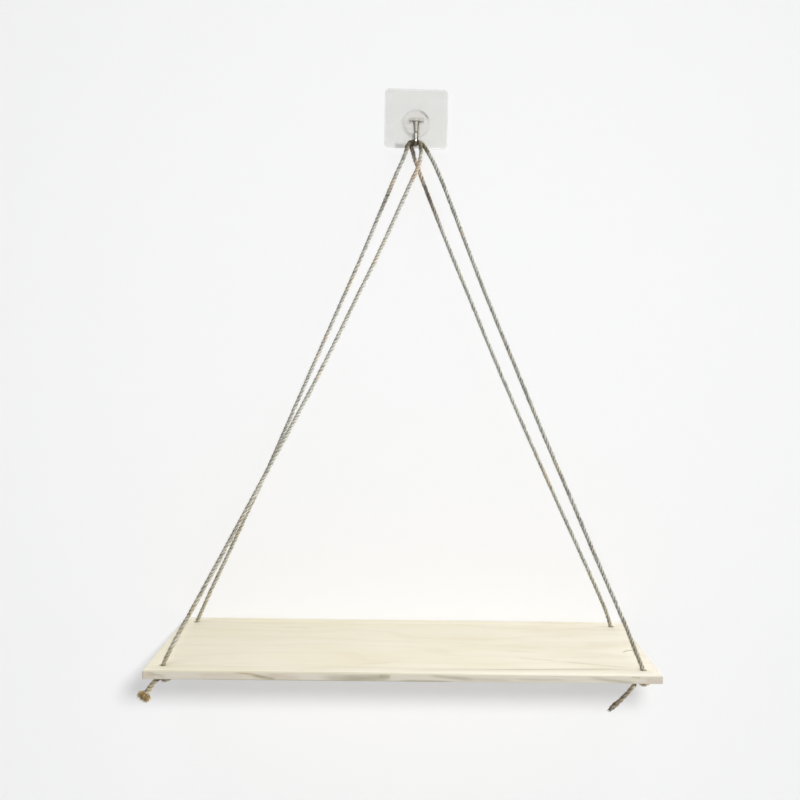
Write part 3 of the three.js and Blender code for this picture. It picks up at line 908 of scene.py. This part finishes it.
def clear_look(name, tone, alpha, edge_alpha, roughness):
    """Clear plastic: nearly see-through where it faces you, greyer where it turns away."""
    look = Look(name, IOR=PLASTIC_IOR)
    tone = linear(*tone)
    x, y, z = look.place()
    cloud = look.noise(look.at(x, y, z), 0.09, 2, 0.5)
    scuff = look.noise(look.at(x * 0.8, y * 2.0, z * 3.1), 1.0, 3, 0.6)
    facing = look.node("LayerWeight", {"Blend": 0.35}, out="Facing")

    # painted shadow: a greyer patch at the lower left, where the rope's shadow falls on the plate
    rope_shadow_patch = look.step(-x, 9, 12, True) * look.step(x, -21, -18, True) * look.step(-z, 22.5, 26, True)
    colour = look.blend(cloud, tone, shade(tone, 0.96))
    colour = look.blend(rope_shadow_patch * 0.75, colour, shade(tone, 0.55))
    look.set(Base_Color=colour, Roughness=roughness + look.step(scuff, 0.5, 0.8) * 0.12)
    look.set(Alpha=alpha + facing * facing * (edge_alpha - alpha) + (cloud - 0.5) * 0.04 + rope_shadow_patch * 0.2)
    return look.bump(scuff, 0.03, 0.2)


def cap_look():
    """The clear cap: a thin veil, with painted grey lines: reflections along its rim and shade by its pocket.
    """
    look = Look("clear_cap", IOR=PLASTIC_IOR)
    x, y, z = look.place()
    high = z + CAP_DROP
    reach = (x * x + high * high).math("SQRT")
    angle = high.math("ARCTAN2", x)
    facing = look.node("LayerWeight", {"Blend": 0.4}, out="Facing")
    flow = look.noise(look.at(x, y, z), 0.35, 2, 0.5)
    reflection_arcs = total(
        soft_line(look, (reach - radius) / half, angle, start, end, ARC_FADE) * strength
        for radius, half, start, end, strength in CAP_REFLECTION_ARCS
    )
    shade_levels = total(
        soft_line(look, (high - middle) / half, x, left, right, LINE_FADE) * strength
        for middle, half, left, right, strength in CAP_SHADE_LINES
    )
    # the lines are painted reflection and shade, greyer and less clear
    lines = ((reflection_arcs + shade_levels) * (0.6 + flow * 0.8)).math("MINIMUM", 1.0)
    veil = look.blend(look.step(flow, 0.4, 0.7), linear(253, 250, 245), linear(246, 243, 237))
    look.set(Base_Color=look.coats(veil, (lines, (112, 104, 92))), Roughness=0.05 + flow * 0.08)
    look.set(Alpha=0.22 + facing * facing * 0.08 + lines * 0.5)
    return look.bump(flow, 0.04, 0.2)


def plate_shape(node, corner, rim):
    """A square slab with round corners that fills its node's box, its front rim eased."""

    def build(bm):
        low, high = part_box(node)
        bmesh.ops.create_cube(bm, size=1)
        bmesh.ops.scale(bm, vec=high - low, verts=bm.verts)
        bmesh.ops.translate(bm, vec=(low + high) / 2, verts=bm.verts)
        through = [e for e in bm.edges if abs((e.verts[0].co - e.verts[1].co).y) > (high.y - low.y) / 2]
        ease(bm, through, corner * MM, CORNER_STEPS)
        front = [e for e in bm.edges if all(v.co.y < low.y + ON_FACE * MM for v in e.verts)]
        ease(bm, front, rim * MM, RIM_STEPS)

    return build


def dome_shape(bm):
    """A round boss: its profile, with a big soft shoulder, spun about the line out of the wall."""
    shoulder = CAP_RADIUS - CAP_ROUND
    profile = [(0.0, 0.0), (0.0, CAP_HEIGHT)]
    for a in np.linspace(0, math.pi / 2, DOME_ROUND_STEPS):
        height = CAP_HEIGHT - CAP_ROUND + CAP_ROUND * math.cos(a)
        profile.append((shoulder + CAP_ROUND * math.sin(a), height))
    profile += [(CAP_RADIUS, CAP_FOOT), (CAP_RADIUS - CAP_FOOT, 0.0), (0.0, 0.0)]
    middle = (0, PLATE_FRONT * MM, -CAP_DROP * MM)
    verts = [bm.verts.new((r * MM, (PLATE_FRONT - h) * MM, middle[2])) for r, h in profile]
    edges = [bm.edges.new(pair) for pair in zip(verts, verts[1:])]
    bmesh.ops.spin(
        bm, geom=verts + edges, cent=middle, axis=(0, 1, 0), dvec=(0, 0, 0),
        angle=2 * math.pi, steps=DOME_STEPS, use_merge=True, use_duplicate=False,
    )
    bmesh.ops.remove_doubles(bm, verts=bm.verts, dist=1e-6)
    bmesh.ops.dissolve_degenerate(bm, edges=bm.edges, dist=1e-7)
    bmesh.ops.recalc_face_normals(bm, faces=bm.faces)


def level_bar(bm, radius, length):
    """A round bar from side to side through the middle of the hook's head."""
    along_x = Matrix.Translation(HEAD) @ Matrix.Rotation(math.pi / 2, 4, "Y")
    return bmesh.ops.create_cone(
        bm, cap_ends=True, segments=BAR_CORNERS, radius1=radius * MM, radius2=radius * MM,
        depth=length * MM, matrix=along_x,
    )["verts"]


def pocket_shape(bm):
    """The pocket that holds the T head."""
    level_bar(bm, POCKET_RADIUS, POCKET_LENGTH)


def way_in_shape(bm):
    """The way into the pocket from the plate's side."""
    size = Vector((POCKET_LENGTH, POCKET_DEPTH, 2 * POCKET_RADIUS)) * MM
    bmesh.ops.create_cube(bm, size=1)
    bmesh.ops.scale(bm, vec=size, verts=bm.verts)
    bmesh.ops.translate(bm, vec=HEAD + Vector((0, size.y / 2, 0)), verts=bm.verts)


def slot_shape(bm):
    """The slot that the stem swings through, a wedge from straight down to the end of the swing."""
    forward = Vector((0, -math.sin(SLOT_SWING), -math.cos(SLOT_SWING)))
    side = Vector((0, -math.cos(SLOT_SWING), math.sin(SLOT_SWING)))
    outline = [
        Vector((0, SLOT_HALF, 0)), Vector((0, SLOT_HALF, -SLOT_REACH)), Vector((0, -SLOT_REACH, -SLOT_REACH)),
        forward * SLOT_REACH + side * SLOT_HALF, side * SLOT_HALF,
    ]
    left = Vector((-SLOT_SIDE, 0, 0))
    face = bm.faces.new([bm.verts.new(HEAD + (p + left) * MM) for p in outline])
    raise_faces(bm, [face], (2 * SLOT_SIDE * MM, 0, 0))


PLATE = clear_look("clear_plate", (237, 237, 233), alpha=0.25, edge_alpha=0.5, roughness=0.12)
FILM = clear_look("adhesive_film", (235, 235, 231), alpha=0.2, edge_alpha=0.3, roughness=0.4)
plate_build = plate_shape("wall_plate", PLATE_CORNER, PLATE_RIM)
plate = make_piece("clear_wall_plate", plate_build, PLATE, "wall_anchor")
finish_edges(plate, 32)
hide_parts("wall_plate")
film_build = plate_shape("adhesive_pad", FILM_CORNER, FILM_RIM)
film = make_piece("adhesive_film", film_build, FILM, "wall_anchor")
finish_edges(film, 32)
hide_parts("adhesive_pad")
cap = make_piece("clear_dome_cap", dome_shape, cap_look(), "wall_anchor")
carve(cap, pocket_shape, way_in_shape, slot_shape)
finish_edges(cap, 38)
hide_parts("dome_cap")


# Hook, with its sizes in mm. The bend is the radius of the strip's middle line

STRIP_WIDTH, STRIP_THICKNESS, SHOULDER_WIDTH, SHOULDER_LENGTH = 4.2, 2.4, 6.2, 9
HEAD_RADIUS, HEAD_LENGTH, HEAD_ROUND = 1.9, 14.2, 0.8
STEM_Y, STEM_TOP, BEND, PRONG_Y, PRONG_TOP = -4.6, -2, 3.8, -15.4, -17.4
STEM_STEPS, BEND_STEPS, TIP_STEPS, STRIP_CORNERS = 14, 12, 8, 28


def hook_stations():
    """Places along the strip's middle line, each as y, z, heading and half width."""
    down, half = -math.pi / 2, STRIP_WIDTH / 2
    stations = []
    for z in np.linspace(STEM_TOP, SEAT.z + BEND, STEM_STEPS):
        share = min(1.0, (STEM_TOP - z) / SHOULDER_LENGTH)
        stations.append((STEM_Y, z, down, SHOULDER_WIDTH / 2 + (STRIP_WIDTH - SHOULDER_WIDTH) / 2 * share))
    for a in np.linspace(0, math.pi / 2, BEND_STEPS)[1:]:
        y = STEM_Y - BEND * (1 - math.cos(a))
        stations.append((y, SEAT.z + BEND - BEND * math.sin(a), down - a, half))
    for a in np.linspace(0, math.pi / 2, BEND_STEPS):
        y = PRONG_Y + BEND * (1 - math.sin(a))
        stations.append((y, SEAT.z + BEND - BEND * math.cos(a), 2 * down - a, half))
    stations.append((PRONG_Y, PRONG_TOP, 3 * down, half))
    for a in np.linspace(0, math.pi / 2, TIP_STEPS)[1:-1]:
        stations.append((PRONG_Y, PRONG_TOP + half * math.sin(a), 3 * down, half * math.cos(a)))
    return stations


def station_matrix(y, z, heading, half):
    """Places a flat unit circle across the strip: x is the width, the circle's y its thickness."""
    thin = STRIP_THICKNESS / 2 * min(1.0, half / (STRIP_WIDTH / 2))
    turn = Matrix.Rotation(heading - math.pi / 2, 4, "X")
    return Matrix.Translation(Vector((0, y, z)) * MM) @ turn @ Matrix.Diagonal((half * MM, thin * MM, 1, 1))


def hook_shape(bm):
    """The strip drawn along its line, and the T head that it hangs by."""
    stations = [station_matrix(*s) for s in hook_stations()]
    bmesh.ops.create_circle(bm, cap_ends=True, segments=STRIP_CORNERS, radius=1, matrix=stations[0])
    tip = bm.faces[:]
    for before, after in zip(stations, stations[1:]):
        grown = bmesh.ops.extrude_face_region(bm, geom=tip)["geom"]
        moved = [v for v in grown if isinstance(v, bmesh.types.BMVert)]
        bmesh.ops.transform(bm, matrix=after @ before.inverted(), verts=moved)
        if before != stations[0]:
            bmesh.ops.delete(bm, geom=[f for f in tip if f.is_valid], context="FACES_ONLY")
        tip = [f for f in grown if isinstance(f, bmesh.types.BMFace)]
    head = level_bar(bm, HEAD_RADIUS, HEAD_LENGTH)
    rims = {e for v in head for e in v.link_edges if abs((e.verts[0].co - e.verts[1].co).x) < 1e-6}
    ease(bm, rims, HEAD_ROUND * MM, 4)
    bmesh.ops.recalc_face_normals(bm, faces=bm.faces)


def steel_look():
    """Polished steel, duller under the cap and darkened there as painted shade, with painted shade on the
    seat under the ropes and a painted dark reflection round the prong.
    """
    look = Look("polished_steel", Metallic=1.0)
    x, y, z = look.place()
    drawn = look.noise(look.at(x * 9, y * 1.2, z * 0.5), 1.0, 3, 0.6)
    stain = look.noise(look.at(x * 0.5, y * 0.5, z * 0.5), 1.0, 2, 0.6)
    # painted shade on the seat, where the ropes lie over it
    seat = look.step(-z, 20, 25)
    # painted dark reflection along the prong's rounded edges and across its top
    prong = look.step(-y, 13.2, 14.2) * look.step(-z, 12, 14)
    outline = look.step(x * x, 0.9, 2.2).math("MAXIMUM", look.step(z, -17.4, -16.2))
    under_cap = look.step(z, -15.5, -12.5)
    colour = look.coats(
        linear(214, 212, 204),
        (look.step(stain, 0.45, 0.7) * 0.5, (168, 162, 148)),
        # painted shade on the steel inside the cap
        (under_cap * (0.55 + stain * 0.5), (132, 127, 116)),
        (prong * outline * 0.9, (66, 60, 48)),
        (seat * 0.85, (84, 76, 58)),
    )
    look.set(Base_Color=colour, Roughness=0.16 + drawn * 0.16 + stain * 0.05 + under_cap * 0.22)
    return look.bump(drawn, 0.03, 0.25)


hook = make_piece("steel_hook", hook_shape, steel_look(), "swing_hook")
finish_edges(hook, 45)
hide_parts("hook")


# Light and surroundings

PAPER = linear(245, 245, 245)
NEAR_PLACE, NEAR_LIGHT, NEAR_RADIUS = (0.1, -0.858, -0.114), 25.0, 0.055
ROPE_LIGHT, ROPE_LIGHT_AIM, ROPE_LIGHT_ANGLE = 3.0, (-0.85, 0.5, -0.2), 12
OVERHEAD_LIGHT, OVERHEAD_AIM, OVERHEAD_ANGLE = 1.0, (0, 0.05, -1), 30
WALL_GAP, WALL_TOP, FLOOR_Z, STAGE_REACH = 0.0004, 3, -1.2, 4
STAGE_TONE, WALL_GLOW, FLOOR_GLOW = 0.6, 0.289, 0.2
CLEAR_LAYERS = 24


def make_world():
    """A pale surround. Plain views see the paper's tone, metal sees it with darker sides, and the
    object gets most of its soft light from low all round, so that the board casts a short shadow."""
    world = bpy.data.worlds.new("studio")
    bpy.context.scene.world = world
    world.use_nodes = True
    sky = Nodes(world.node_tree)
    x, y, z = sky.split(sky.node("TexCoord", {}, out="Generated"))
    soft = sky.ramp(
        sky.step(z, -0.2, 0.9),
        (0.0, (0.455, 0.462, 0.492)), (0.35, (0.386, 0.392, 0.41)), (0.6, (0.24,) * 3), (1.0, (0.12,) * 3),
    )
    sides = sky.step(x * x, 0.35, 0.75, True)
    shine = sky.blend(sides * 0.85, PAPER, (0.16, 0.155, 0.14))
    shine = sky.blend(sky.step(-z, 0.15, 0.7, True) * 0.7, shine, (0.2, 0.19, 0.17))
    seen = sky.blend(sky.light_path("Is Glossy Ray"), soft, shine)
    plain = sky.light_path("Is Camera Ray").math("MAXIMUM", sky.light_path("Is Transmission Ray"))
    colour = sky.blend(plain, seen, PAPER)
    plug(world.node_tree, world.node_tree.nodes["Background"].inputs["Color"], colour)


def make_lamp(name, kind, energy, **settings):
    data = bpy.data.lights.new(name, kind)
    data.energy = energy
    for key, value in settings.items():
        setattr(data, key, value)
    return add_object(name, data)


def make_sun(name, energy, direction, angle):
    """A far lamp that shines along a direction. A wide angle, in degrees, makes it soft."""
    lamp = make_lamp(name, "SUN", energy, angle=math.radians(angle))
    lamp.rotation_mode = "QUATERNION"
    lamp.rotation_quaternion = Vector(direction).to_track_quat("-Z", "Y")
    return lamp


def make_near_lamp():
    """The lamp by the camera that casts the board's shadow. Its light is the same at any distance."""
    lamp = make_lamp("near_lamp", "POINT", 1.0, shadow_soft_size=NEAR_RADIUS)
    lamp.location = NEAR_PLACE
    lamp.data.use_nodes = True
    tree = lamp.data.node_tree
    even = Nodes(tree).node("LightFalloff", {"Strength": NEAR_LIGHT}, out="Constant")
    plug(tree, tree.nodes["Emission"].inputs["Strength"], even)
    return lamp


def link_pieces(name, pieces, state):
    """A light linking collection that takes these pieces in or leaves them out."""
    group = bpy.data.collections.new(name)
    for piece in pieces:
        group.objects.link(piece)
    for member in group.collection_objects:
        member.light_linking.link_state = state
    return group


def make_stage(name, place, glow):
    """A flat pale surface from a unit square, brightened by a little glow of its own."""
    look = Look(name, Base_Color=(STAGE_TONE,) * 3, Roughness=0.95, Specular_IOR_Level=0.0)
    look.set(Emission_Color=(glow,) * 3, Emission_Strength=1.0)

    def square(bm):
        bmesh.ops.create_grid(bm, x_segments=1, y_segments=1, size=0.5, matrix=place)

    mesh = mesh_from(name, square)
    mesh.materials.append(look.material)
    add_object(name, mesh)
    return look


def show_front_only(look):
    """Lets views from behind the wall see through it."""
    back = look.node("NewGeometry", {}, out="Backfacing")
    clear = look.node("BsdfTransparent", {})
    shown = look.node("MixShader", {0: back, 1: Value(look.tree, look.shader.outputs[0]), 2: clear})
    output = next(n for n in look.tree.nodes if n.type == "OUTPUT_MATERIAL")
    plug(look.tree, output.inputs[0], shown)


make_world()

# the near lamp passes the thin ropes by, and a soft lamp from the right models their roundness
near_lamp = make_near_lamp()
near_lamp.light_linking.blocker_collection = link_pieces("no_shadow_from", ROPE_PIECES, "EXCLUDE")
near_lamp.light_linking.receiver_collection = link_pieces("not_lit", ROPE_PIECES, "EXCLUDE")
rope_lamp = make_sun("rope_lamp", ROPE_LIGHT, ROPE_LIGHT_AIM, ROPE_LIGHT_ANGLE)
rope_lamp.light_linking.receiver_collection = link_pieces("lit", ROPE_PIECES, "INCLUDE")
make_sun("overhead", OVERHEAD_LIGHT, OVERHEAD_AIM, OVERHEAD_ANGLE)
bpy.context.scene.view_settings.view_transform = "Standard"
bpy.context.scene.cycles.transparent_max_bounces = CLEAR_LAYERS

wall_middle = Matrix.Translation((0, WALL_GAP, (WALL_TOP + FLOOR_Z) / 2))
wall_size = Matrix.Diagonal((2 * STAGE_REACH, WALL_TOP - FLOOR_Z, 1, 1))
wall = make_stage("wall", wall_middle @ Matrix.Rotation(math.pi / 2, 4, "X") @ wall_size, WALL_GLOW)
show_front_only(wall)
floor_size = Matrix.Diagonal((2 * STAGE_REACH, 2 * STAGE_REACH, 1, 1))
floor = make_stage("floor", Matrix.Translation((0, 0, FLOOR_Z)) @ floor_size, 0.0)
floor.set(Emission_Color=floor.blend(floor.light_path("Is Camera Ray"), (0, 0, 0), (FLOOR_GLOW,) * 3))
